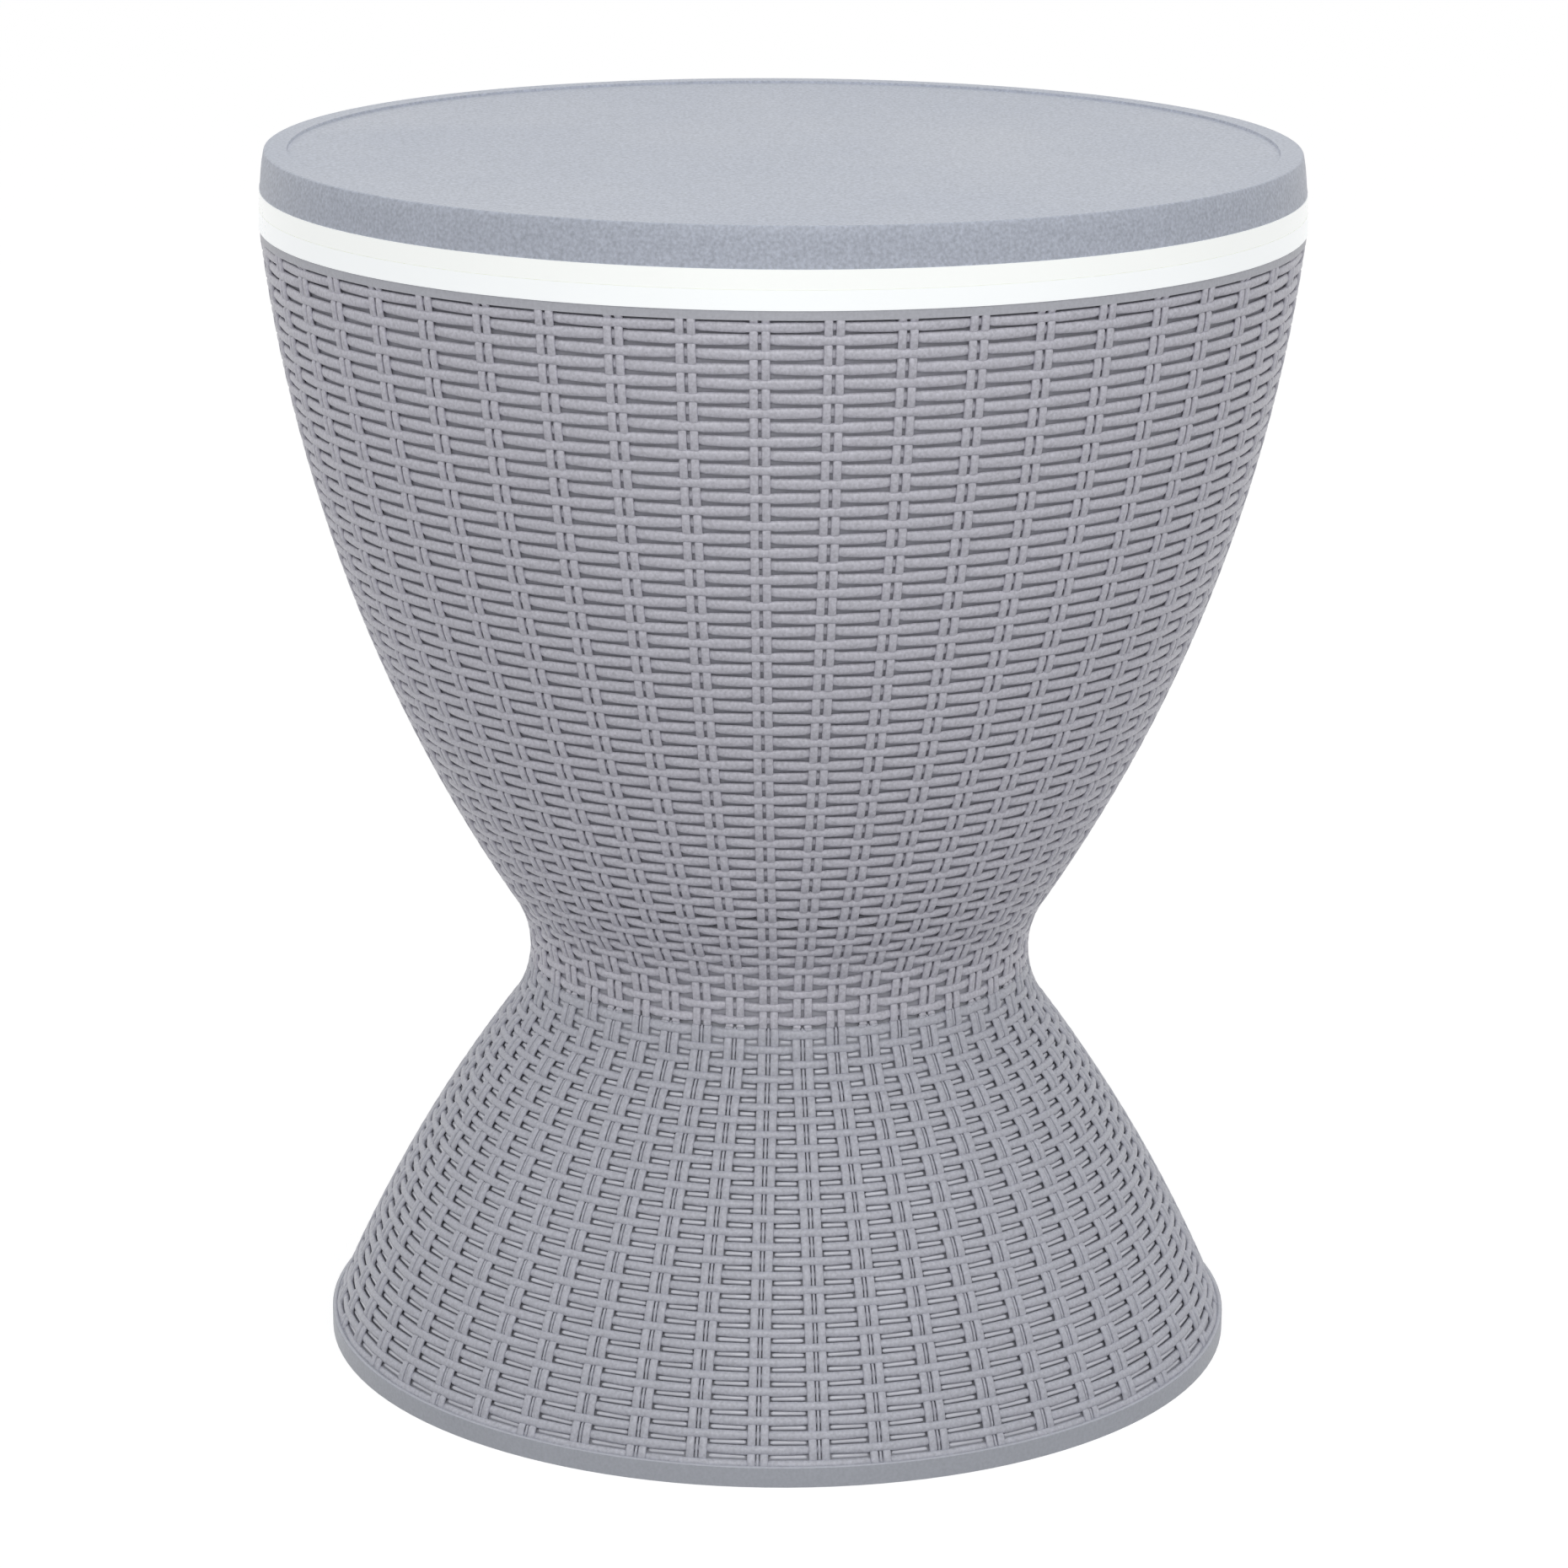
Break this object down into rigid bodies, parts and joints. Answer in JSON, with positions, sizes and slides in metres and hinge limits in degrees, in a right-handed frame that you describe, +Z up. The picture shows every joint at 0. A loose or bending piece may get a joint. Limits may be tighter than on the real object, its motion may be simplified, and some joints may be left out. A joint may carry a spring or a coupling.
{
  "type": "cooler table with lid",
  "caption": "Round hourglass patio side table in woven-look plastic with a hidden ice bucket, a glowing rim and a table top that lifts on a telescopic column.",
  "frame": {"origin": "centre of the base ring, on the floor", "axes": "+Z up along the table's axis, -Y towards the viewer of the picture"},
  "size_m": [0.4199, 0.42, 0.4986],
  "materials": {
    "woven_grey": "matte",
    "lid_grey": "satin",
    "light_white": "gloss",
    "bucket_white": "satin",
    "strip_white": "matte",
    "column_metal": "satin",
    "bush_grey": "matte",
    "seal_rubber": "matte",
    "box_grey": "matte",
    "board_green": "satin",
    "cell_jacket": "gloss",
    "contact_metal": "satin"
  },
  "bodies": {
    "stand": {"base_shell": "woven_grey", "bowl_shell": "woven_grey", "ice_bucket": "bucket_white", "bucket_sleeve": "bucket_white", "light_ring": "light_white", "led_strip": "strip_white", "guide_tube": "column_metal", "top_bush": "bush_grey", "battery_box": "box_grey", "control_cover": "box_grey", "control_board": "board_green", "cell_1": "cell_jacket", "cell_2": "cell_jacket", "cell_3": "cell_jacket", "cell_4": "cell_jacket", "contact_plate_near": "contact_metal", "contact_plate_far": "contact_metal", "drain_pipe": "box_grey"},
    "table_top": {"lid_top": "lid_grey", "lid_liner": "bucket_white", "lid_gasket": "seal_rubber", "lift_tube": "column_metal", "tube_foot": "bush_grey"},
    "collar": {"lock_collar": "bush_grey"},
    "plug": {"drain_plug": "seal_rubber"},
    "cover": {"battery_cover": "box_grey"},
    "button": {"power_button": "seal_rubber"}
  },
  "joints": [
    {"name": "top_lift", "type": "slide", "parent": "stand", "child": "table_top", "axis": [0, 0, 1], "range_m": [0, 0.23]},
    {"name": "collar_turn", "type": "hinge", "parent": "stand", "child": "collar", "pos_m": [0, 0, 0.462], "axis": [0, 0, 1], "range_deg": [0, 60]},
    {"name": "plug_pull", "type": "slide", "parent": "stand", "child": "plug", "axis": [0, 0, 1], "range_m": [0, 0.05]},
    {"name": "cover_off", "type": "slide", "parent": "stand", "child": "cover", "axis": [0, 0, -1], "range_m": [0, 0.05]},
    {"name": "button_press", "type": "slide", "parent": "stand", "child": "button", "axis": [0, 0, 1], "range_m": [0, 0.0015], "stiffness_N_per_m": 800, "springref_m": -0.001}
  ]
}
